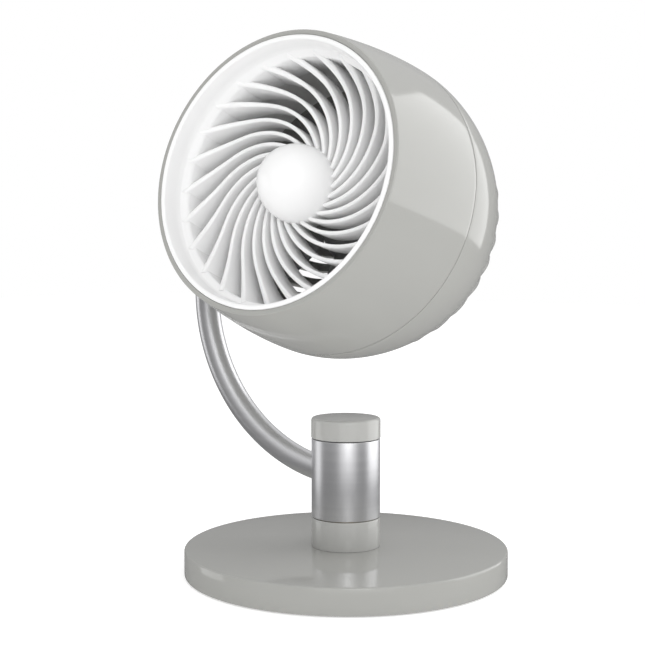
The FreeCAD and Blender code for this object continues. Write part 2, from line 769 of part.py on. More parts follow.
# ---- grille ------------------------------------------------------------------------------
def vane_angle(radius):
    """Sweep of a vane at a radius, in degrees."""
    share = (radius - HUB_CAP_R) / (DISH_EDGE_R - HUB_CAP_R)
    return VANE_START + VANE_TURN * max(share, 0.0) ** VANE_CURVE


def vane_outline_point(radius, side):
    """Point of one side of a vane, seen from the front."""
    turn = math.radians(vane_angle(radius)) + side * VANE_T / 2 / radius * 1.35
    return V(radius * math.cos(turn), at_depth(0), radius * math.sin(turn))


def vane():
    """One curved vane as a straight-sided strip, before its front edge is shaped."""
    start = HUB_CAP_R - GRILLE_HUB_WALL / 2
    end = (BOWL_IN_R + BOWL_OUT_R) / 2
    steps = 7
    sides = []
    for side in (-1, 1):
        line = Part.BSplineCurve()
        line.interpolate([vane_outline_point(start + (end - start) * i / steps, side)
                          for i in range(steps + 1)])
        sides.append(line.toShape())
    ends = [Part.makeLine(vane_outline_point(r, -1), vane_outline_point(r, 1))
            for r in (start, end)]
    face = Part.Face(Part.Wire(Part.__sortEdges__(sides + ends)))
    return face.extrude(V(0, DISH + VANE_DEPTH, 0))


def dish_depth(radius):
    """Depth of the bowl's surface, which the vanes' front edges share."""
    return DISH - DISH_CURVE * max(radius - DISH_FLAT_R, 0.0) ** 2


def dish_points(steps=5):
    """Points of the bowl's curve, from the wall in to the flat dish."""
    radii = [DISH_EDGE_R + (DISH_FLAT_R - DISH_EDGE_R) * i / steps for i in range(steps + 1)]
    return [(radius, dish_depth(radius)) for radius in radii]


def dish_space():
    """Space in front of the vanes' edges: a flat dish with a curved side."""
    side = dish_points()
    a, b, c, d, back = flat_points([(0, -1), (side[0][0], -1), side[0], side[-1], (0, DISH)])
    return spun([Part.makeLine(a, b), Part.makeLine(b, c), curve(side), Part.makeLine(d, back),
                 Part.makeLine(back, a)])


def front_grille():
    """White moulding: lip, bowl wall, curved vanes and the ring that carries the hub cap."""
    lip = turned([(GRILLE_R - LIP_W, 0), (GRILLE_R, 0), (GRILLE_R, LIP_DEPTH),
                  (BOWL_OUT_R, LIP_DEPTH + 1.0), (BOWL_OUT_R, BOWL_END), (BOWL_IN_R, BOWL_END),
                  (BOWL_IN_R, LIP_DEPTH), (GRILLE_R - LIP_W, LIP_DEPTH)])
    lip = lip.cut(dish_space())
    hub = tube(HUB_CAP_R, HUB_CAP_R - GRILLE_HUB_WALL, DISH, DISH + VANE_DEPTH)
    shaped = vane().cut(dish_space())
    return fused([lip, hub] + around(shaped, VANE_COUNT, V(0, 1, 0)))


def cap_outline(radius, apex, inset):
    """Half-ellipse of the hub cap's dome."""
    rise = HUB_CAP_RISE - inset
    points = []
    steps = 6
    for i in range(steps + 1):
        turn = math.radians(90.0 * i / steps)
        points.append((radius * math.sin(turn), apex + HUB_CAP_RISE - rise * math.cos(turn)))
    return points


def hub_cap():
    """Smooth dome over the middle of the grille."""
    apex = DISH - HUB_CAP_RISE
    outer = cap_outline(HUB_CAP_R, apex, 0.0)
    inner = cap_outline(HUB_CAP_R - HUB_CAP_WALL, apex, HUB_CAP_WALL)
    a, b, c, d = flat_points([outer[0], inner[0], inner[-1], outer[-1]])
    dome = spun([curve(outer), curve(inner), Part.makeLine(a, b), Part.makeLine(c, d)])
    plug_r = HUB_CAP_R - GRILLE_HUB_WALL - RUN
    plug = tube(plug_r, plug_r - 1.5, DISH - 2.0, DISH + 4.0)
    flange = tube(HUB_CAP_R - HUB_CAP_WALL / 2, plug_r - 1.5, DISH - 2.0, DISH)
    return fused([dome, plug, flange])


def build_grille():
    parts["front_grille"] = tilted(front_grille())
    parts["hub_cap"] = tilted(hub_cap())


# ---- duct ----------------------------------------------------------------------------------
def air_duct():
    """Shroud round the impeller, with the pad that carries the pivot bracket."""
    wall = tube(DUCT_IN_R + DUCT_WALL, DUCT_IN_R, BOWL_END, DUCT_END)
    flange = tube(flange_radius(), DUCT_IN_R, BOWL_END, BOWL_END + FLANGE_T)
    half = BRACKET_SIZE / 2
    near = at_depth(HEAD_REACH) - half
    pad = block((BRACKET_X + BRACKET_T, -DUCT_IN_R + 8.0), (near, at_depth(DUCT_END)),
                (-half, half))
    pad = pad.cut(rod(DUCT_IN_R, 0, HEAD_DEPTH))
    body = fused([wall, flange, pad])
    pocket = cross_rod(NUT_R + 1.0, BRACKET_X, bolt_end_x() + SIDE_GAP)
    cuts = [pocket]
    cuts += [rod(1.25, BOWL_END - 1, BOWL_END + FLANGE_T + 1, x, z)
             for x, z in duct_screw_places()]
    cuts += [cross_rod_at(1.0, BRACKET_X, -DUCT_IN_R - 0.8, y, z)
             for y, z in bracket_screw_places()]
    return body.cut(cuts)


def cross_rod_at(radius, x_low, x_high, y, z):
    return Part.makeCylinder(radius, x_high - x_low, V(x_low, y, z), V(1, 0, 0))


def bracket_screw_places():
    y = -BRACKET_SIZE / 2 + 3.0
    z = BRACKET_SIZE / 2 - 3.0
    return [(y, -z), (y, z)]


def duct_screws():
    screws = []
    for x, z in duct_screw_places():
        head = rod(2.2, BOWL_END + FLANGE_T, BOWL_END + FLANGE_T + 1.4, x, z)
        shank = rod(0.95, BOWL_END - LEDGE_T + 1.4, BOWL_END + FLANGE_T, x, z)
        screws.append(head.fuse(shank))
    return Part.Compound([tilted(s) for s in screws])


def pivot_hub():
    """Turned boss that carries the head on the pivot bolt."""
    return cross_rod(HUB_R, HUB_X, BRACKET_X).cut(
        cross_rod(BOLT_R + RUN, HUB_X - 1, BRACKET_X + 1))


def pivot_bracket():
    half = BRACKET_SIZE / 2
    back = at_depth(DUCT_END)
    plate = block((BRACKET_X, BRACKET_X + BRACKET_T), (-half, back), (-half, half))
    lug = cross_rod(HUB_R, BRACKET_X, BRACKET_X + BRACKET_T)
    plate = plate.fuse(lug).removeSplitter()
    holes = [cross_rod_at(1.2, BRACKET_X - 1, BRACKET_X + BRACKET_T + 1, y, z)
             for y, z in bracket_screw_places()]
    holes += [cross_rod_at(2.3, BRACKET_X - 1, BRACKET_X + 1.4, y, z)
              for y, z in bracket_screw_places()]
    return plate.cut([cross_rod(BOLT_R + RUN, BRACKET_X - 1, BRACKET_X + BRACKET_T + 1)] + holes)


def bracket_screws():
    screws = []
    for y, z in bracket_screw_places():
        head = cross_rod_at(2.1, BRACKET_X + 0.1, BRACKET_X + 1.4, y, z)
        shank = cross_rod_at(1.0, BRACKET_X + 1.4, -DUCT_IN_R - 1.2, y, z)
        screws.append(head.fuse(shank))
    return Part.Compound([tilted(s) for s in screws])


def build_duct():
    parts["air_duct"] = tilted(air_duct())
    parts["duct_screws"] = duct_screws()
    parts["pivot_hub"] = tilted(pivot_hub())
    parts["pivot_bracket"] = tilted(pivot_bracket())
    parts["bracket_screws"] = bracket_screws()


# ---- motor -----------------------------------------------------------------------------
def bearing_front():
    return MOTOR_FRONT - BELL_T


def bearing_back():
    return MOTOR_BACK + BELL_T - BEARING_T


def motor_can():
    return tube(MOTOR_R, MOTOR_R - CAN_WALL, MOTOR_FRONT, MOTOR_BACK)


def motor_bell(near, bearing_near):
    """End plate of the motor, with the seat of one bearing."""
    plate = rod(MOTOR_R, near, near + BELL_T)
    seat = rod(BEARING_R + 2.0, bearing_near, bearing_near + BEARING_T)
    body = plate.fuse(seat)
    return body.cut(rod(BEARING_R, bearing_near - 1, bearing_near + BEARING_T + 1))


def rear_bell():
    bell = motor_bell(MOTOR_BACK, bearing_back())
    return bell.cut([rod(1.25, MOTOR_BACK - 1, MOTOR_BACK + BELL_T + 1, x, z)
                     for x, z in motor_screw_places()])


def bearing(near):
    return tube(BEARING_R, SHAFT_R + RUN, near, near + BEARING_T)


def motor_stator():
    return tube(MOTOR_R - CAN_WALL, STATOR_IN_R, MOTOR_FRONT + 5.0, MOTOR_BACK - 5.0)


def motor_screws():
    screws = []
    for x, z in motor_screw_places():
        head = rod(2.9, HEAD_DEPTH - 3.0, HEAD_DEPTH - 1.0, x, z)
        shank = rod(1.25, MOTOR_BACK + 0.4, HEAD_DEPTH - 3.0, x, z)
        screws.append(head.fuse(shank))
    return Part.Compound([tilted(s) for s in screws])


def build_motor():
    parts["motor_can"] = tilted(motor_can())
    parts["motor_front_bell"] = tilted(motor_bell(MOTOR_FRONT - BELL_T, bearing_front()))
    parts["motor_rear_bell"] = tilted(rear_bell())
    parts["front_bearing"] = tilted(bearing(bearing_front()))
    parts["rear_bearing"] = tilted(bearing(bearing_back()))
    parts["motor_stator"] = tilted(motor_stator())
    parts["motor_screws"] = motor_screws()


# ---- turning group ---------------------------------------------------------------------
def shaft_front():
    return BLADE_FRONT - 3.0


def motor_shaft():
    return rod(SHAFT_R, shaft_front(), MOTOR_BACK + BELL_T + 1.5)


def motor_rotor():
    return tube(STATOR_IN_R - AIR_GAP, SHAFT_R, MOTOR_FRONT + 5.0, MOTOR_BACK - 5.0)


def blade():
    """One flat blade, pitched about its own radius."""
    chord = BLADE_LENGTH / math.sin(math.radians(BLADE_PITCH))
    blank = block((IMPELLER_HUB_R - 2.0, IMPELLER_TIP_R + 5), (-BLADE_T / 2, BLADE_T / 2),
                  (-chord / 2, chord / 2))
    blank.rotate(V(0, 0, 0), V(1, 0, 0), BLADE_PITCH)
    blank.translate(V(0, at_depth(BLADE_FRONT + BLADE_LENGTH / 2), 0))
    back = BLADE_FRONT + BLADE_LENGTH
    return blank.common(tube(IMPELLER_TIP_R, IMPELLER_HUB_R - 1.5, BLADE_FRONT, back))


def impeller():
    back = BLADE_FRONT + BLADE_LENGTH
    hub = rod(IMPELLER_HUB_R, BLADE_FRONT, back).cut(
        rod(IMPELLER_HUB_R - 2.5, BLADE_FRONT + 3.0, back + 1))
    boss = rod(SHAFT_R + 3.0, BLADE_FRONT, back - 2.0)
    body = fused([hub, boss] + around(blade(), BLADE_COUNT, V(0, 1, 0), -BLADE_START))
    return body.cut(rod(SHAFT_R, BLADE_FRONT - 1, back + 1))


def impeller_nut():
    return tube(SHAFT_R + 3.0, SHAFT_R, BLADE_FRONT - 2.6, BLADE_FRONT)


def build_turning():
    parts["motor_shaft"] = tilted(motor_shaft())
    parts["motor_rotor"] = tilted(motor_rotor())
    parts["impeller"] = tilted(impeller())
    parts["impeller_nut"] = tilted(impeller_nut())


def main():
    build_base()
    build_post()
    build_knob()
    build_arm()
    build_pivot()
    build_housing()
    build_grille()
    build_duct()
    build_motor()
    build_turning()
    os.makedirs("parts", exist_ok=True)
    for node, shape in parts.items():
        if not shape.isValid():
            raise ValueError(node + " is not a valid shape")
        shape.exportStep(os.path.join("parts", node + ".step"))


main()
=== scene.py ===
"""Looks of a small desk air circulator, built around its fixed frame.

A round fan head with a swirled grille tilts on one side of a bent tube arm, which swivels
on a post over a disc base. Sizes are in millimetres and are turned to metres where a
piece is drawn. The head's pieces are drawn face up about Z, with the front rim at height
0 and every depth behind it below, and are then seated in the head.
"""

import json
import math

import bpy
from mathutils import Matrix, Vector

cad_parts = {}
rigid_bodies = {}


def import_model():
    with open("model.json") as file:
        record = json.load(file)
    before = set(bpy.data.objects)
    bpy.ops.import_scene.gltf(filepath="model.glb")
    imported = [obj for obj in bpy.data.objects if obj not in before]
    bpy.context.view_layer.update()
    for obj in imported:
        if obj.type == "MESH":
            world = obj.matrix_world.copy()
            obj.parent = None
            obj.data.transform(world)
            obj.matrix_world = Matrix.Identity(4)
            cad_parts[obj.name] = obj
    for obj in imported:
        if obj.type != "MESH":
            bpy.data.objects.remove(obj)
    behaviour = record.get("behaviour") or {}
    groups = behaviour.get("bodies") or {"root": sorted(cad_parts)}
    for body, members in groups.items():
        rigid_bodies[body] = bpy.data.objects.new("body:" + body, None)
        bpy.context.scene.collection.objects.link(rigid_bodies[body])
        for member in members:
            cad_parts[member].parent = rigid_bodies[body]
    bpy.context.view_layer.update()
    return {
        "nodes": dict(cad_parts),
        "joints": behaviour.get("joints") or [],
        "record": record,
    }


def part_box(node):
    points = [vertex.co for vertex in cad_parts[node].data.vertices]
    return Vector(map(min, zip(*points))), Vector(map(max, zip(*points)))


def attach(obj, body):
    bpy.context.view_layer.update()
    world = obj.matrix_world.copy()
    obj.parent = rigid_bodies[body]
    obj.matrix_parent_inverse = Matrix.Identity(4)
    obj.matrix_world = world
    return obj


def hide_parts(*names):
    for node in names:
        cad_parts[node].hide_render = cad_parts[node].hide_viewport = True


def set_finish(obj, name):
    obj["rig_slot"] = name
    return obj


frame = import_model()

MM = 0.001
POLE = 0.004             # circle that is merged into a point on the axis
ROUND = 160              # sides of a large round piece
SMALL_ROUND = 64

# ---- base and post -------------------------------------------------------------------
BASE_WALL = 2.4
BASE_EDGE = 1.0          # rounding of the base's top edge
BASE_FOOT_EDGE = 0.5
SPINDLE_R = 12.1         # hole in the base's top and in the collar
SLEEVE_BORE = 14.1
MAT_GROOVES = 7
GROMMET_BORE = 3.0
GROMMET_NECK_R = 3.9
KNOB_WALL = 2.5
KNOB_EDGE = 1.5
BAND_EDGE = 0.3

# ---- arm and tilt pivot --------------------------------------------------------------
ARM_R = 6.35
ARM_WALL = 1.2
BEND_PAST = 0.7          # centre of the bend beyond the post's axis
ARM_IN = 14.4            # the tube starts this far beyond the bend's centre
SOCKET_R = 8.25
KNUCKLE_R = 10.0
BOLT_HOLE_R = 2.6

# ---- housing -------------------------------------------------------------------------
SIDE_SWELL = 8.6         # largest radius beyond the front's
REAR_TAPER = 14.6        # and beyond the back corner's
FRONT_BULGE = 1.67
REAR_BULGE = 1.9
WIDEST_UP = 55.0         # largest radius, ahead of the back
REAR_UP = 7.0            # start of the back corner, ahead of the back
HOUSING_WALL = 2.2
RIM_W = 2.0              # edge of the housing round the grille
RIM_SETBACK = 0.85
SEAM_GAP = 0.12
VENTS = 32
VENT_COLUMNS = 8         # strips of mesh per vent and rib
VENT_OPEN = 3            # of them open
VENT_UP = 17.0
VENT_IN_R = 35.0
VENT_TURN = -24.0
VENT_SWEEP_W = 45.0
RIB_CROWN = (0.3, 0.55)
BACK_FLAT_R = 42.0
BACK_GROOVE = (33.0, 31.0)
GROOVE_DEEP = 0.5
BACK_RINGS = (28.0, 18.0, 12.0, 5.0, 0)
SCREW_WELLS = 3
SCREW_WELL_R = 3.2
SCREW_CIRCLE_R = 23.0
TOWER_R = (20.0, 26.0)

# ---- grille --------------------------------------------------------------------------
LIP_W = 2.4
DISH = 23.0
DISH_EDGE_R = 61.2
DISH_FLAT_R = 45.0
DISH_CURVE = 0.0465
SLOT_END_R = 58.7
BOWL_OUT_R = 63.2
VANES = 25
VANE_T = 1.9
VANE_FLARE = 1.7         # extra thickness where a vane runs into the bowl
VANE_END_R = 60.8
VANE_START = -6.0
VANE_TURN = 76.0
VANE_CURVE = 0.78
HUB_RING_W = 2.6
DOME_SKIRT = 0.9         # dome's flat rim below its edge

# ---- duct and impeller ---------------------------------------------------------------
DUCT_BORE = 60.8
DUCT_WALL = 1.6
DUCT_FLANGE_W = 7.4
DUCT_FLANGE_T = 2.0
FAN_HUB_R = 20.0
FAN_NOSE = 4.0           # rounding of the hub's nose
BLADE_ROOT_R = 18.5
BLADES = 7
BLADE_START = 6.8
BLADE_T = 1.5
TIP_PITCH = 22.5
ROOT_PITCH = 40.0
PITCH_CURVE = 0.7
BLADE_ARC = 25.0         # half of the arc that the blade's section follows, in degrees
BLADE_CAMBER = 0.7

# ---- studio --------------------------------------------------------------------------
ROOM_LOW = 0.26
ROOM_HIGH = 1.1
FLOOR_LIFT = 0.36        # glow that keeps the pale floor even
LIGHTS_AIM = 0.15
CAMERA_PLACE = (0.3391, -0.5087, 0.1590)
CAMERA_LOOK = (-0.5694, 0.8201, -0.0568)
LENS = 69.24
SENSOR = 36.0


# ---- the frame's places --------------------------------------------------------------
def joint(name):
    return next(j for j in frame["joints"] if j["name"] == name)


PIVOT = Vector(joint("head_tilt")["pos_m"])
FORWARD = Vector(joint("rotor_spin")["axis"]).normalized()


def head_seat():
    """Where pieces drawn face up go in the head, with the front rim at height 0."""
    side = Vector((1, 0, 0))
    turn = Matrix((side, FORWARD.cross(side), FORWARD)).transposed().to_4x4()
    corners = frame["nodes"]["front_grille"].data.vertices
    reach = max((corner.co - PIVOT).dot(FORWARD) for corner in corners)
    return Matrix.Translation(PIVOT + reach * FORWARD) @ turn


HEAD = head_seat()
UPRIGHT = Matrix.Identity(4)


def sideways_seat():
    """Where pieces drawn about Z go on the tilt axis, with Z turned to +X."""
    return Matrix.Translation((0, 0, PIVOT.z)) @ Matrix.Rotation(math.radians(90), 4, "Y")


SIDEWAYS = sideways_seat()


def extent(node, seat=UPRIGHT):
    """Lowest and highest point and outer radius of a CAD node in a seat's own axes, in mm."""
    back = seat.inverted()
    spots = [back @ corner.co / MM for corner in frame["nodes"][node].data.vertices]
    return (min(p.z for p in spots), max(p.z for p in spots),
            max(math.hypot(p.x, p.y) for p in spots))


# ---- modelling ------------------------------------------------------------------------
def start_edit(piece):
    bpy.ops.object.select_all(action="DESELECT")
    piece.select_set(True)
    bpy.context.view_layer.objects.active = piece
    bpy.ops.object.mode_set(mode="EDIT")


def end_edit():
    bpy.ops.object.mode_set(mode="OBJECT")


def pick(piece, rule):
    """Opens a piece for editing with the corners selected whose place meets the rule."""
    start_edit(piece)
    bpy.ops.mesh.select_all(action="DESELECT")
    end_edit()
    bpy.context.view_layer.update()
    for corner in piece.data.vertices:
        corner.select = rule(piece.matrix_world @ corner.co)
    start_edit(piece)


def named(piece, name):
    piece.name = name
    piece.data.name = name
    return piece


def tidied(merge=3 * POLE):
    """Merges what coincides and turns the faces outwards, in edit mode."""
    bpy.ops.mesh.select_all(action="SELECT")
    bpy.ops.mesh.remove_doubles(threshold=merge * MM)
    bpy.ops.mesh.normals_make_consistent(inside=False)


def turned(name, outline, sides=ROUND, closed=True, twist=None):
    """Piece of revolution about Z: a circle drawn out through (radius, height) points.

    A radius of 0 is a pole. An outline with no pole is joined from its end to its start,
    unless it stays open. twist gives the turn, in degrees, of the circle at a point.
    """
    bpy.ops.object.select_all(action="DESELECT")
    radius, height = outline[0]
    bpy.ops.mesh.primitive_circle_add(vertices=sides, radius=max(radius, POLE) * MM,
                                      location=(0, 0, height * MM))
    piece = named(bpy.context.object, name)
    bpy.ops.object.mode_set(mode="EDIT")
    bpy.ops.mesh.select_all(action="SELECT")
    for point in outline[1:]:
        draw_circle_to(piece, (radius, height), point, twist)
        radius, height = point
    if closed and min(outline[0][0], outline[-1][0]) > 0:
        bpy.ops.mesh.select_all(action="DESELECT")
        bpy.ops.mesh.select_non_manifold()
        bpy.ops.mesh.bridge_edge_loops()
    tidied()
    end_edit()
    return seated(piece, UPRIGHT)


def draw_circle_to(piece, old, new, twist):
    """Extrudes the selected circle from one (radius, height) to the next."""
    shift = {"value": (0, 0, (new[1] - old[1]) * MM)}
    growth = max(new[0], POLE) / max(old[0], POLE)
    middle = (0, 0, new[1] * MM)
    bpy.ops.mesh.extrude_region_move(TRANSFORM_OT_translate=shift)
    bpy.ops.transform.resize(value=(growth, growth, 1), center_override=middle)
    if twist:
        turn_selected(twist(new) - twist(old), "Z", middle)


def turn_selected(degrees, axis, middle):
    """Turns what is selected counter-clockwise, seen from the axis's positive end."""
    bpy.ops.transform.rotate(value=-math.radians(degrees), orient_axis=axis,
                             center_override=middle)


def seated(piece, seat):
    """Puts a finished piece in its place, with the place in its mesh."""
    bpy.ops.object.select_all(action="DESELECT")
    piece.select_set(True)
    bpy.context.view_layer.objects.active = piece
    piece.matrix_world = seat @ piece.matrix_world
    bpy.ops.object.transform_apply(location=True, rotation=True, scale=True)
    return piece


def modified(piece, kind, **settings):
    """Adds a modifier, sets it and applies it."""
    bpy.ops.object.select_all(action="DESELECT")
    piece.select_set(True)
    bpy.context.view_layer.objects.active = piece
    modifier = piece.modifiers.new(kind.lower(), kind)
    for setting, value in settings.items():
        setattr(modifier, setting, value)
    bpy.ops.object.modifier_apply(modifier=modifier.name)
    return piece


def softened(piece, width, segments=3, angle=35.0):
    """Rounds the piece's sharp edges."""
    return modified(piece, "BEVEL", width=width * MM, segments=segments, limit_method="ANGLE",
                    angle_limit=math.radians(angle), use_clamp_overlap=True)


def smooth(piece, angle=38.0):
    bpy.ops.object.select_all(action="DESELECT")
    piece.select_set(True)
    bpy.context.view_layer.objects.active = piece
    bpy.ops.object.shade_smooth_by_angle(angle=math.radians(angle))
    return piece


def cut(piece, cutter, operation="DIFFERENCE"):
    modified(piece, "BOOLEAN", operation=operation, object=cutter, solver="EXACT")
    bpy.data.objects.remove(cutter)
    return piece


def copies_around(piece, count, step_name):
    """Copies of a piece about Z, each with its own mesh."""
    made = [named(piece, step_name.format(1))]
    for step in range(1, count):
        copy = piece.copy()
        copy.data = piece.data.copy()
        bpy.context.scene.collection.objects.link(copy)
        turn = Matrix.Rotation(math.radians(360 * step / count), 4, "Z")
        made.append(seated(named(copy, step_name.format(step + 1)), turn))
    return made


def spaced(start, end, steps):
    return [start + (end - start) * i / steps for i in range(steps + 1)]


def arc(centre, radius, start, end, steps=4):
    """(radius, height) points of a rounded corner; angles from outwards towards up."""
    return [(centre[0] + radius * math.cos(math.radians(a)),
             centre[1] + radius * math.sin(math.radians(a))) for a in spaced(start, end, steps)]


def placed(pieces, seat, body, slot, replaced=()):
    """Seats finished pieces and says what they ride on and stand for."""
    for piece in pieces:
        seated(piece, seat)
        smooth(piece)
        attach(piece, body)
        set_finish(piece, slot)
        if replaced:
            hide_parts(*replaced)
    return pieces


# ---- base ------------------------------------------------------------------------------
def base_cover():
    """Disc casting: flat top, upright side with rounded edges, hollow below."""
    low, high, radius = extent("base_shell")
    edge, foot = BASE_EDGE, BASE_FOOT_EDGE
    inner, ceiling = radius - BASE_WALL, high - BASE_WALL
    outline = [(SPINDLE_R, high)] + arc((radius - edge, high - edge), edge, 90, 0)
    outline += arc((radius - foot, low + foot), foot, 0, -90, 2)
    outline += [(inner, low), (inner, ceiling), (SPINDLE_R, ceiling)]
    return turned("base_cover", outline, sides=192)


def base_floor():
    """Bottom plate with a recess for the foot mat."""
    low, high, radius = extent("base_plate")
    mat_r = extent("foot_pad")[2] + 0.05
    recess = extent("foot_pad")[1]
    outline = [(0, recess), (mat_r, recess), (mat_r, low), (radius, low), (radius, high), (0, high)]
    return softened(turned("base_floor", outline), 0.25)


def foot_mat():
    """Soft ring-grooved mat that the base stands on."""
    low, high, radius = extent("foot_pad")
    outline = [(0, low)]
    for step in range(1, MAT_GROOVES + 1):
        middle = radius * step / (MAT_GROOVES + 1)
        outline += [(middle - 0.9, low), (middle - 0.4, low + 0.6),
                    (middle + 0.4, low + 0.6), (middle + 0.9, low)]
    outline += [(radius - 0.4, low), (radius, low + 0.4), (radius, high), (0, high)]
    return turned("foot_mat", outline)


def inlet_grommet():
    """Rubber grommet with a rounded flange, for the cord's hole."""
    box_low, box_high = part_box("cord_gland")
    inner, outer = box_low.y / MM, box_high.y / MM
    flange = (box_high.x - box_low.x) / 2 / MM
    face = outer - 1.4
    bore, neck = GROMMET_BORE, GROMMET_NECK_R
    outline = [(bore, inner), (neck, inner), (neck, face - 0.6), (flange, face - 0.6)]
    outline += arc((flange - 0.9, outer - 0.9), 0.9, 0, 90)
    outline += [(bore + 0.4, outer), (bore, outer - 0.4)]
    grommet = turned("inlet_grommet", outline, sides=SMALL_ROUND)
    lift = Matrix.Translation((0, 0, (box_low.z + box_high.z) / 2))
    return seated(grommet, lift @ Matrix.Rotation(math.radians(-90), 4, "X"))


def make_base():
    placed([base_cover()], UPRIGHT, "base", "grey_plastic", ["base_shell"])
    placed([base_floor()], UPRIGHT, "base", "grey_plastic", ["base_plate"])
    placed([foot_mat()], UPRIGHT, "base", "rubber", ["foot_pad"])
    placed([inlet_grommet()], UPRIGHT, "base", "rubber", ["cord_gland"])


# ---- post ------------------------------------------------------------------------------
def post_ring(name, node, bore):
    """Plain band of the post with small rounded edges."""
    low, high, radius = extent(node)
    outline = [(bore, low), (radius, low), (radius, high), (bore, high)]
    return softened(turned(name, outline, sides=128), BAND_EDGE)


def knob_cup():
    """Cap-shaped knob on top of the post."""
    low, high, radius = extent("speed_knob")
    wall, edge = KNOB_WALL, KNOB_EDGE
    outline = [(0, high)] + arc((radius - edge, high - edge), edge, 90, 0, 6)
    outline += [(radius, low + 0.3), (radius - 0.3, low), (radius - wall, low),
                (radius - wall, high - wall), (0, high - wall)]
    return turned("knob_cup", outline, sides=128)


def make_post():
    placed([post_ring("collar_band", "post_collar", SPINDLE_R)], UPRIGHT, "base",
           "grey_plastic", ["post_collar"])
    placed([post_ring("sleeve_band", "swivel_sleeve", SLEEVE_BORE)], UPRIGHT, "swivel",
           "aluminium", ["swivel_sleeve"])
    placed([knob_cup()], UPRIGHT, "knob", "grey_plastic", ["speed_knob"])


# ---- arm -------------------------------------------------------------------------------
def bent_tube():
    """Tube that leaves the post level, bends up and stands beside the head."""
    box_low, box_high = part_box("arm_tube")
    upright_x = box_low.x / MM + ARM_R
    bend_r = BEND_PAST - upright_x
    bend_z = box_low.z / MM + ARM_R + bend_r
    start = math.degrees(math.asin((BEND_PAST + ARM_IN) / bend_r))
    bpy.ops.object.select_all(action="DESELECT")
    bpy.ops.mesh.primitive_circle_add(vertices=SMALL_ROUND, radius=ARM_R * MM,
                                      rotation=(0, math.radians(90), 0),
                                      location=(BEND_PAST * MM, 0, (bend_z - bend_r) * MM))
    tube = named(bpy.context.object, "bent_tube")
    centre = (BEND_PAST * MM, 0, bend_z * MM)
    bpy.ops.object.mode_set(mode="EDIT")
    bpy.ops.mesh.select_all(action="SELECT")
    turn_selected(start, "Y", centre)
    bpy.ops.mesh.spin(steps=48, angle=math.radians(start - 90), center=centre, axis=(0, 1, 0))
    rise = box_high.z - bend_z * MM
    bpy.ops.mesh.extrude_region_move(TRANSFORM_OT_translate={"value": (0, 0, rise)})
    tidied()
    end_edit()
    return modified(tube, "SOLIDIFY", thickness=ARM_WALL * MM, offset=-1)


def make_arm():
    placed([bent_tube()], UPRIGHT, "swivel", "aluminium", ["arm_tube"])


# ---- tilt pivot ------------------------------------------------------------------------
def knuckle():
    """Barrel across the top of the tube, with a socket that the tube goes into."""
    low, high, _ = extent("pivot_knuckle", SIDEWAYS)
    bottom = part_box("pivot_knuckle")[0].z / MM
    upright_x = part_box("arm_tube")[0].x / MM + ARM_R
    barrel = turned("knuckle", [(0, low), (KNUCKLE_R, low), (KNUCKLE_R, high), (0, high)], sides=96)
    seated(barrel, SIDEWAYS)
    top = PIVOT.z / MM
    socket = turned("socket", [(0, bottom), (SOCKET_R, bottom), (SOCKET_R, top), (0, top)], sides=96)
    seated(socket, Matrix.Translation((upright_x * MM, 0, 0)))
    return softened(cut(barrel, socket, "UNION"), 0.6, angle=40)


def knuckle_button():
    """Domed cap over the bolt's head."""
    low, _, radius = extent("knuckle_cap", SIDEWAYS)
    outline = [(0, low), (radius * 0.5, low + 0.12), (radius * 0.8, low + 0.4),
               (radius - 0.6, low + 0.75), (radius - 0.25, low + 1.15), (0, low + 1.15)]
    return turned("knuckle_button", outline, sides=96)


def pivot_disc(name, node, edge):
    low, high, radius = extent(node, SIDEWAYS)
    outline = [(BOLT_HOLE_R, low), (radius, low), (radius, high), (BOLT_HOLE_R, high)]
    return softened(turned(name, outline, sides=96), edge)


def make_pivot():
    placed([knuckle()], UPRIGHT, "swivel", "aluminium", ["pivot_knuckle"])
    placed([knuckle_button()], SIDEWAYS, "swivel", "aluminium", ["knuckle_cap"])
    placed([pivot_disc("pivot_spacer", "pivot_washer", 0.15)], SIDEWAYS, "swivel",
           "dark_plastic", ["pivot_washer"])
    placed([pivot_disc("pivot_boss", "pivot_hub", 0.5)], SIDEWAYS, "head", "grey_plastic",
           ["pivot_hub"])


# ---- housing ---------------------------------------------------------------------------
BACK = -extent("rear_shell", HEAD)[0]
SEAM = -extent("front_shell", HEAD)[0]
MAX_R = extent("rear_shell", HEAD)[2]
WIDEST = BACK - WIDEST_UP
REAR = BACK - REAR_UP
FRONT_R = MAX_R - SIDE_SWELL
REAR_R = MAX_R - REAR_TAPER


def skin(depth):
    """Outside radius of the housing's side."""
    if depth < WIDEST:
        return MAX_R - SIDE_SWELL * ((WIDEST - depth) / WIDEST) ** FRONT_BULGE
    return MAX_R - REAR_TAPER * ((depth - WIDEST) / (REAR - WIDEST)) ** REAR_BULGE


def side_line(start, end, steps, inset=0.0):
    return [(skin(depth) - inset, -depth) for depth in spaced(start, end, steps)]


def housing_front():
    """Front shell: the swelling side with a narrow rounded rim."""
    edge = 0.7
    start = RIM_SETBACK
    outline = arc((skin(start + edge) - edge, -start - edge), edge, 90, 0)
    outline += side_line(start + 3.0, SEAM - SEAM_GAP, 26)
    outline += side_line(SEAM - SEAM_GAP, start + 6.0, 12, HOUSING_WALL)
    inner = FRONT_R - RIM_W
    outline += [(inner, -start - 3.0), (inner, -start)]
    return softened(turned("housing_front", outline, sides=192), 0.22, 2, 50)


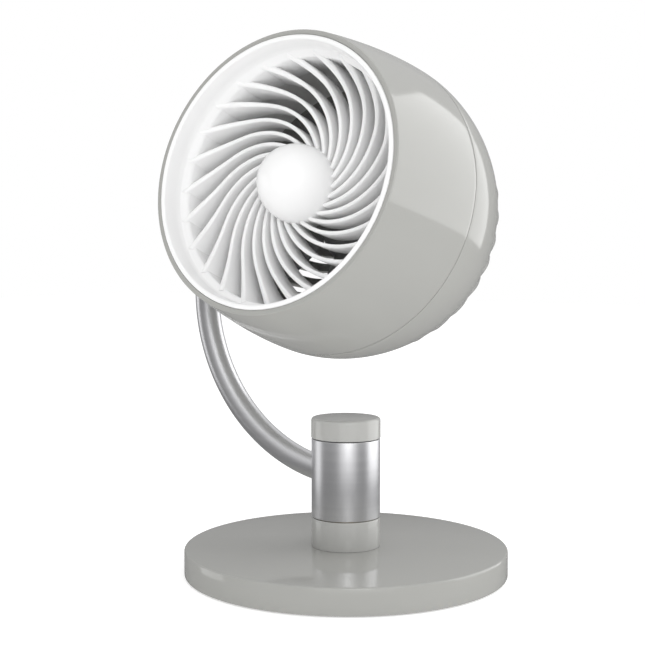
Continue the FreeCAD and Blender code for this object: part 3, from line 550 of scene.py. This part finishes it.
def back_line():
    """Rear shell's outside, from the seam over the rounded corner to the flat back."""
    low, high = (REAR_R, REAR), (BACK_FLAT_R, BACK)
    pull_low = (REAR_R - 2.6, REAR + 4.6)
    pull_high = (BACK_FLAT_R + 10.0, BACK)
    line = side_line(SEAM + SEAM_GAP, BACK - VENT_UP, 18)
    line += side_line(BACK - VENT_UP, REAR, 6)[1:]
    for t in spaced(0, 1, 10)[1:]:
        share = ((1 - t) ** 3, 3 * t * (1 - t) ** 2, 3 * t * t * (1 - t), t ** 3)
        radius, depth = (sum(s * p[i] for s, p in zip(share, (low, pull_low, pull_high, high)))
                         for i in (0, 1))
        line.append((radius, -depth))
    line += [(radius, -BACK) for radius in (40.0, 37.5, VENT_IN_R)]
    outer, inner = BACK_GROOVE
    bottom = -BACK + GROOVE_DEEP
    line += [(outer, -BACK), (outer - 0.4, bottom), (inner + 0.4, bottom), (inner, -BACK)]
    return line + [(radius, -BACK) for radius in BACK_RINGS]


def vent_turn(point):
    """Turn of the vents at a point of the outside, in degrees."""
    radius, height = point
    if -height < BACK - VENT_UP:
        start = vent_turn((skin(BACK - VENT_UP), -BACK))
        return start * (-height - SEAM) / (BACK - VENT_UP - SEAM)
    return VENT_TURN * (radius - VENT_IN_R) / VENT_SWEEP_W


def vent_column(spot):
    """Which strip of its vent a spot of the back lies in; the open ones come first."""
    radius = math.hypot(spot.x, spot.y)
    turn = math.degrees(math.atan2(spot.y, spot.x)) - vent_turn((radius, spot.z))
    pitch = 360 / VENTS
    return ((turn % pitch) * VENT_COLUMNS / pitch)


def in_vents(spot):
    return spot.z < -(BACK - VENT_UP) * MM and math.hypot(spot.x, spot.y) > VENT_IN_R * MM


def housing_back():
    """Rear shell: swirled crowned ribs with open vents between them."""
    shell = turned("housing_back", back_line(), sides=VENTS * VENT_COLUMNS, closed=False,
                   twist=vent_turn)
    start_edit(shell)
    bpy.ops.mesh.select_all(action="DESELECT")
    end_edit()
    for face in shell.data.polygons:
        spot = face.center
        face.select = in_vents(spot) and vent_column(spot / MM) < VENT_OPEN
    start_edit(shell)
    bpy.ops.mesh.delete(type="FACE")
    end_edit()
    for crown_step, rise in enumerate(RIB_CROWN):
        raise_ribs(shell, crown_step, rise)
    modified(shell, "SOLIDIFY", thickness=HOUSING_WALL * MM, offset=-1)
    for step in range(SCREW_WELLS):
        cut(shell, screw_well(90 + 360 * step / SCREW_WELLS))
    return softened(shell, 0.35, 2, 50)


def screw_well(heading):
    """Cutter for the hole that a motor screw is reached through."""
    low, high = -BACK - 1, -BACK + 3
    well = turned("well", [(0, low), (SCREW_WELL_R, low), (SCREW_WELL_R, high), (0, high)], sides=32)
    turn = math.radians(heading)
    reach = SCREW_CIRCLE_R * MM
    return seated(well, Matrix.Translation((reach * math.cos(turn), reach * math.sin(turn), 0)))


def raise_ribs(shell, crown_step, rise):
    """Lifts the lines of a rib that lie a given number of strips inside its edges."""
    lines = (VENT_OPEN + 1 + crown_step, VENT_COLUMNS - 1 - crown_step)
    pick(shell, lambda spot: in_vents(spot) and round(vent_column(spot / MM)) in lines)
    bpy.ops.transform.shrink_fatten(value=rise * MM)
    end_edit()


def motor_tower():
    """Inside ring of the rear shell that carries the motor."""
    front = -extent("motor_rear_bell", HEAD)[0]
    inner, outer = TOWER_R
    outline = [(inner, -front), (outer, -front), (outer, -BACK + 2), (inner, -BACK + 2)]
    return turned("motor_tower", outline, sides=96)


def make_housing():
    placed([housing_front()], HEAD, "head", "grey_plastic", ["front_shell"])
    placed([housing_back()], HEAD, "head", "grey_plastic", ["rear_shell"])
    placed([motor_tower()], HEAD, "head", "grey_plastic")


# ---- grille ----------------------------------------------------------------------------
def dish(radius):
    """Depth of the bowl's surface and of the vanes' front edges."""
    return DISH - DISH_CURVE * max(radius - DISH_FLAT_R, 0) ** 2


def grille_bowl():
    """White lip and the smooth curved wall that the slots are cut into."""
    lip_r = extent("front_grille", HEAD)[2]
    end = -extent("front_grille", HEAD)[0]
    half = LIP_W / 2
    outline = arc((lip_r - half, -half), half, 0, 180, 10)
    outline += [(DISH_EDGE_R + 0.28, -4.5), (DISH_EDGE_R + 0.1, -7.6)]
    outline += [(r, -dish(r)) for r in spaced(DISH_EDGE_R, SLOT_END_R + 0.35, 6)]
    outline += [(SLOT_END_R + 0.05, -dish(SLOT_END_R) - 0.25),
                (SLOT_END_R + 0.05, -dish(SLOT_END_R) - 1.2),
                (SLOT_END_R + 1.6, -end), (BOWL_OUT_R, -end), (BOWL_OUT_R, -4.0),
                (lip_r, -3.0)]
    return turned("grille_bowl", outline, sides=192)


def vane_spot(radius):
    """Middle of a vane at a radius, with its heading, in the plane of the grille."""
    hub_r = extent("hub_cap", HEAD)[2]
    share = max((radius - hub_r) / (DISH_EDGE_R - hub_r), 0)
    turn = math.radians(VANE_START + VANE_TURN * share ** VANE_CURVE)
    return Vector((radius * math.cos(turn), radius * math.sin(turn), 0))


def vane_heading(radius):
    step = 0.25
    return (vane_spot(radius + step) - vane_spot(radius - step)).normalized()


def vane_width(radius):
    """Thickness of a vane, which flares where it runs into the bowl."""
    flare = min(max((radius - 40.0) / (DISH_EDGE_R - 40.0), 0), 1)
    return VANE_T + VANE_FLARE * flare ** 2


def vane_start(radius, height):
    """First section of a vane: round front edge, straight sides and a flat back."""
    bpy.ops.object.select_all(action="DESELECT")
    bpy.ops.mesh.primitive_circle_add(vertices=16, radius=vane_width(radius) / 2 * MM,
                                      rotation=(0, math.radians(90), 0), fill_type="NGON")
    piece = named(bpy.context.object, "vane")
    pick(piece, lambda spot: spot.z < -0.1 * MM)
    bpy.ops.transform.resize(value=(1, 1, 0.02), center_override=(0, 0, 0))
    bpy.ops.transform.translate(value=(0, 0, (vane_width(radius) / 2 - height) * MM))
    bpy.ops.mesh.select_all(action="SELECT")
    bpy.ops.transform.translate(value=(0, 0, -vane_width(radius) / 2 * MM))
    return piece


def vane():
    """One curved vane, drawn outwards from the hub, its front edge on the bowl's surface."""
    end = -extent("front_grille", HEAD)[0]
    radii = [16.6, 18.9] + spaced(20.0, VANE_END_R, 26)
    spot, heading = vane_spot(radii[0]), vane_heading(radii[0])
    piece = vane_start(radii[0], end - dish(radii[0]))
    height, width = end - dish(radii[0]), vane_width(radii[0])
    front = spot * MM - Vector((0, 0, dish(radii[0]) * MM))
    bpy.ops.transform.translate(value=front)
    turn_selected(math.degrees(math.atan2(heading.y, heading.x)), "Z", front)
    for radius in radii[1:]:
        next_front = vane_spot(radius) * MM - Vector((0, 0, dish(radius) * MM))
        next_heading = vane_heading(radius)
        bpy.ops.mesh.extrude_region_move(TRANSFORM_OT_translate={"value": next_front - front})
        growth = vane_width(radius) / width
        across = math.degrees(math.atan2(heading.y, heading.x))
        turn_selected(-across, "Z", next_front)
        bpy.ops.transform.resize(value=(1, growth, (end - dish(radius)) / height),
                                 center_override=next_front)
        turn_selected(math.degrees(math.atan2(next_heading.y, next_heading.x)), "Z", next_front)
        height, width = end - dish(radius), vane_width(radius)
        front, heading = next_front, next_heading
    tidied()
    end_edit()
    return piece


def hub_ring():
    """Ring that the vanes grow from."""
    hub_r = extent("hub_cap", HEAD)[2]
    end = -extent("front_grille", HEAD)[0]
    inner = hub_r - HUB_RING_W
    outline = [(inner, -DISH), (hub_r, -DISH), (hub_r, -end), (inner, -end)]
    return softened(turned("hub_ring", outline, sides=96), 0.3)


def hub_dome():
    """Smooth white dome over the hub."""
    _, high, radius = extent("hub_cap", HEAD)
    base = -DISH
    outline = [(radius * math.sin(math.radians(a)),
                base + (high - base) * math.cos(math.radians(a))) for a in spaced(0, 90, 30)]
    skirt = base - DOME_SKIRT
    outline += [(radius, skirt + 0.4), (radius - 0.4, skirt), (0, skirt)]
    return turned("hub_dome", outline, sides=128)


def make_grille():
    placed([grille_bowl()], HEAD, "head", "white_plastic", ["front_grille"])
    placed(copies_around(vane(), VANES, "grille_vane_{:02d}"), HEAD, "head", "white_plastic")
    placed([hub_ring()], HEAD, "head", "white_plastic")
    placed([hub_dome()], HEAD, "head", "white_plastic", ["hub_cap"])


# ---- duct and impeller ------------------------------------------------------------------
def duct_ring():
    """Round duct that leads the air from the blades to the grille."""
    near, far = -extent("air_duct", HEAD)[1], -extent("air_duct", HEAD)[0]
    outer, flange, step = DUCT_BORE + DUCT_WALL, DUCT_BORE + DUCT_FLANGE_W, near + DUCT_FLANGE_T
    outline = [(DUCT_BORE, -near), (DUCT_BORE, -far + 0.4), (DUCT_BORE + 0.4, -far), (outer, -far),
               (outer, -step), (flange, -step), (flange, -near)]
    return turned("duct_ring", outline, sides=192)


def impeller_hub():
    """Rounded nose and side of the impeller's hub."""
    low, high, _ = extent("impeller", HEAD)
    outline = [(0, high)]
    outline += arc((FAN_HUB_R - FAN_NOSE, high - FAN_NOSE), FAN_NOSE, 90, 0, 8)
    outline += [(FAN_HUB_R, low), (0, low)]
    return turned("impeller_hub", outline, sides=96)


def blade(tip_r, front, back):
    """One cambered, twisted blade, drawn outwards from the hub and trimmed at its tip."""
    axial = front - back
    radii = [BLADE_ROOT_R] + spaced(FAN_HUB_R, tip_r + 4.0, 12)
    shares = [(r - BLADE_ROOT_R) / (tip_r - BLADE_ROOT_R) for r in radii]
    pitches = [ROOT_PITCH + (TIP_PITCH - ROOT_PITCH) * share ** PITCH_CURVE for share in shares]
    bpy.ops.object.select_all(action="DESELECT")
    bpy.ops.mesh.primitive_circle_add(vertices=72, radius=1.0, rotation=(0, math.radians(90), 0))
    piece = named(bpy.context.object, "blade")
    half = math.radians(BLADE_ARC)
    pick(piece, lambda spot: spot.z < math.cos(half) - 1e-4)
    bpy.ops.mesh.delete(type="VERT")
    bpy.ops.mesh.select_all(action="SELECT")
    bpy.ops.transform.translate(value=(0, 0, -math.cos(half)))
    growth = axial / math.sin(math.radians(pitches[0])) * MM / (2 * math.sin(half))
    bpy.ops.transform.resize(value=(1, growth, growth * BLADE_CAMBER), center_override=(0, 0, 0))
    middle = Vector((radii[0] * MM, 0, (front + back) / 2 * MM))
    bpy.ops.transform.translate(value=middle)
    turn_selected(pitches[0], "X", middle)
    for radius, pitch, old_pitch in zip(radii[1:], pitches[1:], pitches):
        next_middle = Vector((radius * MM, 0, middle.z))
        shift = {"value": next_middle - middle}
        bpy.ops.mesh.extrude_region_move(TRANSFORM_OT_translate=shift)
        turn_selected(pitch - old_pitch, "X", next_middle)
        growth = math.sin(math.radians(old_pitch)) / math.sin(math.radians(pitch))
        bpy.ops.transform.resize(value=(1, growth, growth), center_override=next_middle)
        middle = next_middle
    end_edit()
    modified(piece, "SOLIDIFY", thickness=BLADE_T * MM, offset=0)
    trim = turned("trim", [(0, back - 20), (tip_r, back - 20), (tip_r, front + 20), (0, front + 20)],
                  sides=256)
    cut(piece, trim, "INTERSECT")
    return softened(piece, 0.5, 2, 50)


def make_duct_and_impeller():
    placed([duct_ring()], HEAD, "head", "duct_plastic", ["air_duct"])
    back, front, tip_r = extent("impeller", HEAD)
    placed([impeller_hub()], HEAD, "rotor", "dark_plastic", ["impeller"])
    first = seated(blade(tip_r, front, back),
                   Matrix.Rotation(math.radians(BLADE_START), 4, "Z"))
    placed(copies_around(first, BLADES, "impeller_blade_{}"), HEAD, "rotor", "dark_plastic")


# ---- finishes --------------------------------------------------------------------------
class Wire:
    """An output of a node, which takes part in sums as a number does."""

    def __init__(self, finish, socket):
        self.finish = finish
        self.socket = socket

    def worked(self, operation, first, second):
        return self.finish.node("ShaderNodeMath", {"operation": operation},
                                {0: first, 1: second})

    def __add__(self, other):
        return self.worked("ADD", self, other)

    def __mul__(self, other):
        return self.worked("MULTIPLY", self, other)

    __radd__ = __add__
    __rmul__ = __mul__


class Finish:
    """A material in the making, with the constants of its shader set on the sockets."""

    def __init__(self, name, **constants):
        self.material = bpy.data.materials.new(name)
        self.material.use_nodes = True
        self.tree = self.material.node_tree
        self.shader = self.tree.nodes["Principled BSDF"]
        for socket, value in constants.items():
            self.shader.inputs[socket.replace("_", " ")].default_value = value
        self.place = self.node("ShaderNodeTexCoord", output="Object")

    def node(self, kind, settings=None, inputs=None, output=0):
        made = self.tree.nodes.new(kind)
        for setting, value in (settings or {}).items():
            setattr(made, setting, value)
        for socket, value in (inputs or {}).items():
            if isinstance(value, Wire):
                self.tree.links.new(value.socket, made.inputs[socket])
            else:
                made.inputs[socket].default_value = value
        return Wire(self, made.outputs[output])

    def grain(self, scale, detail=3.0, stretch=(1, 1, 1)):
        """Noise from 0 to 1 on the piece's own place."""
        spot = self.node("ShaderNodeMapping", {}, {"Vector": self.place, "Scale": stretch})
        return self.node("ShaderNodeTexNoise", {}, {"Vector": spot, "Scale": scale,
                                                    "Detail": detail})

    def mixed(self, share, first, second):
        """Colour between two colours."""
        return self.node("ShaderNodeMix", {"data_type": "RGBA"},
                         {"Factor": share, 6: (*first, 1), 7: (*second, 1)}, 2)

    def feed(self, socket, wire):
        self.tree.links.new(wire.socket, self.shader.inputs[socket])

    def bump(self, height, strength, distance):
        self.feed("Normal", self.node("ShaderNodeBump", {}, {"Height": height,
                                                             "Strength": strength,
                                                             "Distance": distance}))


def gloss_plastic(name, dark, light, rough=0.07, rough_spread=0.06, **constants):
    """Polished moulding: faint colour drift, uneven polish and a slight surface waviness."""
    finish = Finish(name, IOR=1.5, **constants)
    finish.feed("Base Color", finish.mixed(finish.grain(14.0), dark, light))
    finish.feed("Roughness", rough + rough_spread * finish.grain(60.0, 4.0))
    waves = finish.grain(90.0, 1.0)
    finish.bump(waves + 0.15 * finish.grain(1500.0, 2.0), 0.03, 0.0004)
    return finish.material


def satin_metal(name, dark, light, stretch, rough=0.3):
    """Anodised or brushed metal with fine lines across the stretch."""
    finish = Finish(name, Metallic=1.0)
    lines = finish.grain(500.0, 2.0, stretch)
    finish.feed("Base Color", finish.mixed(lines, dark, light))
    finish.feed("Roughness", rough + 0.08 * lines + 0.05 * finish.grain(30.0))
    finish.bump(lines, 0.05, 0.0002)
    return finish.material


def matt(name, dark, light, rough, grain_scale, strength, **constants):
    """Dull grained surface, such as rubber, cast iron or textured plastic."""
    finish = Finish(name, **constants)
    grain = finish.grain(grain_scale, 4.0)
    finish.feed("Base Color", finish.mixed(grain, dark, light))
    finish.feed("Roughness", rough + 0.12 * grain)
    finish.bump(grain, strength, 0.0004)
    return finish.material


def make_finishes():
    return {
        # lighter copy of the housing grey for the collar and knob: a painted sheen
        "post_grey": gloss_plastic("post_grey", (0.43, 0.43, 0.415), (0.45, 0.45, 0.435)),
        "grey_plastic": gloss_plastic("housing_grey", (0.355, 0.355, 0.338), (0.375, 0.375, 0.358)),
        "white_plastic": gloss_plastic("grille_white", (0.88, 0.88, 0.88), (0.90, 0.90, 0.90), 0.2),
        "duct_plastic": gloss_plastic("duct_grey", (0.74, 0.74, 0.73), (0.78, 0.78, 0.77)),
        "dark_plastic": gloss_plastic("blade_dark", (0.18, 0.18, 0.18), (0.21, 0.21, 0.21), 0.3),
        "aluminium": satin_metal("satin_aluminium", (0.66, 0.66, 0.675), (0.74, 0.74, 0.755),
                                 (0.04, 0.04, 1.0)),
        "steel": satin_metal("zinc_steel", (0.50, 0.51, 0.53), (0.62, 0.62, 0.63), (1, 1, 1)),
        "weight_iron": matt("cast_iron", (0.10, 0.10, 0.105), (0.15, 0.15, 0.155), 0.6, 400.0, 0.5,
                            Metallic=0.8),
        "rubber": matt("black_rubber", (0.022, 0.022, 0.023), (0.04, 0.04, 0.04), 0.62, 900.0, 0.3),
        "bush_brass": satin_metal("turned_brass", (0.66, 0.48, 0.22), (0.78, 0.60, 0.32), (1, 1, 12)),
        "winding": matt("copper_winding", (0.40, 0.17, 0.07), (0.62, 0.28, 0.12), 0.35, 1200.0, 0.8,
                        Metallic=0.7),
    }


def finish_everything(finishes):
    """Every piece and every CAD node takes the finish of its slot; the post's collar and knob take a
    lighter copy of the housing grey, which paints on them the sheen they catch.
    """
    slots = {part["node"]: part["material_slot"] for part in frame["record"]["subparts"]}
    for piece in bpy.data.objects:
        slot = piece.get("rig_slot") or slots.get(piece.name)
        # the collar and knob get the lighter grey, a painted sheen
        if piece.name in ("collar_band", "knob_cup", "post_collar", "speed_knob"):
            slot = "post_grey"
        if piece.type == "MESH" and slot:
            piece.data.materials.clear()
            piece.data.materials.append(finishes[slot])


# ---- stage -----------------------------------------------------------------------------
def make_floor():
    """Plain pale floor."""
    bpy.ops.object.select_all(action="DESELECT")
    bpy.ops.mesh.primitive_plane_add(size=6)
    floor = named(bpy.context.object, "floor")
    paint = Finish("floor_white", Base_Color=(0.93, 0.93, 0.93, 1), Roughness=0.8,
                   Emission_Color=(1, 1, 1, 1), Emission_Strength=FLOOR_LIFT)
    floor.data.materials.append(paint.material)
    floor.visible_glossy = False


def make_world():
    """Dim studio, brighter overhead, in front of a plain white backdrop."""
    world = bpy.data.worlds.new("studio")
    bpy.context.scene.world = world
    world.use_nodes = True
    nodes, links = world.node_tree.nodes, world.node_tree.links
    room = nodes["Background"]
    towards = nodes.new("ShaderNodeTexCoord")
    parts = nodes.new("ShaderNodeSeparateXYZ")
    rise = nodes.new("ShaderNodeMapRange")
    rise.inputs["To Min"].default_value = ROOM_LOW
    rise.inputs["To Max"].default_value = ROOM_HIGH
    links.new(towards.outputs["Generated"], parts.inputs["Vector"])
    links.new(parts.outputs["Z"], rise.inputs["Value"])
    links.new(rise.outputs["Result"], room.inputs["Strength"])
    room.inputs["Color"].default_value = (1, 1, 1, 1)
    backdrop = nodes.new("ShaderNodeBackground")
    backdrop.inputs["Color"].default_value = (1, 1, 1, 1)
    seen = nodes.new("ShaderNodeLightPath")
    either = nodes.new("ShaderNodeMixShader")
    links.new(seen.outputs["Is Camera Ray"], either.inputs["Fac"])
    links.new(room.outputs["Background"], either.inputs[1])
    links.new(backdrop.outputs["Background"], either.inputs[2])
    links.new(either.outputs["Shader"], nodes["World Output"].inputs["Surface"])
    bpy.context.scene.view_settings.view_transform = "Standard"


def softbox(name, heading, rise, far, width, height, radiance):
    """Soft rectangular light that faces the object, placed by its compass heading and rise."""
    light = bpy.data.lights.new(name, "AREA")
    light.shape = "RECTANGLE"
    light.size = width
    light.size_y = height
    light.energy = radiance * math.pi * width * height
    lamp = bpy.data.objects.new(name, light)
    bpy.context.scene.collection.objects.link(lamp)
    level = far * math.cos(math.radians(rise))
    out = Vector((level * math.cos(math.radians(heading)), level * math.sin(math.radians(heading)),
                  far * math.sin(math.radians(rise))))
    lamp.location = Vector((0, 0, LIGHTS_AIM)) + out
    lamp.rotation_euler = out.to_track_quat("Z", "Y").to_euler()
    lamp.visible_camera = False


def make_lights():
    softbox("front_softbox", -50, 17, 1.8, 2.0, 2.0, 0.7)
    softbox("key_softbox", -48, 14, 1.6, 0.5, 0.5, 3.6)
    softbox("left_softbox", -160, -2, 1.7, 0.8, 0.9, 1.25)
    softbox("right_softbox", 50, 14, 1.7, 1.9, 1.65, 1.7)


def make_camera():
    lens = bpy.data.cameras.new("camera")
    lens.lens = LENS
    lens.sensor_width = SENSOR
    camera = bpy.data.objects.new("camera", lens)
    bpy.context.scene.collection.objects.link(camera)
    camera.location = CAMERA_PLACE
    camera.rotation_euler = Vector(CAMERA_LOOK).to_track_quat("-Z", "Y").to_euler()
    bpy.context.scene.camera = camera


def main():
    make_base()
    make_post()
    make_arm()
    make_pivot()
    make_housing()
    make_grille()
    make_duct_and_impeller()
    finish_everything(make_finishes())
    make_floor()
    make_world()
    make_lights()
    make_camera()


main()
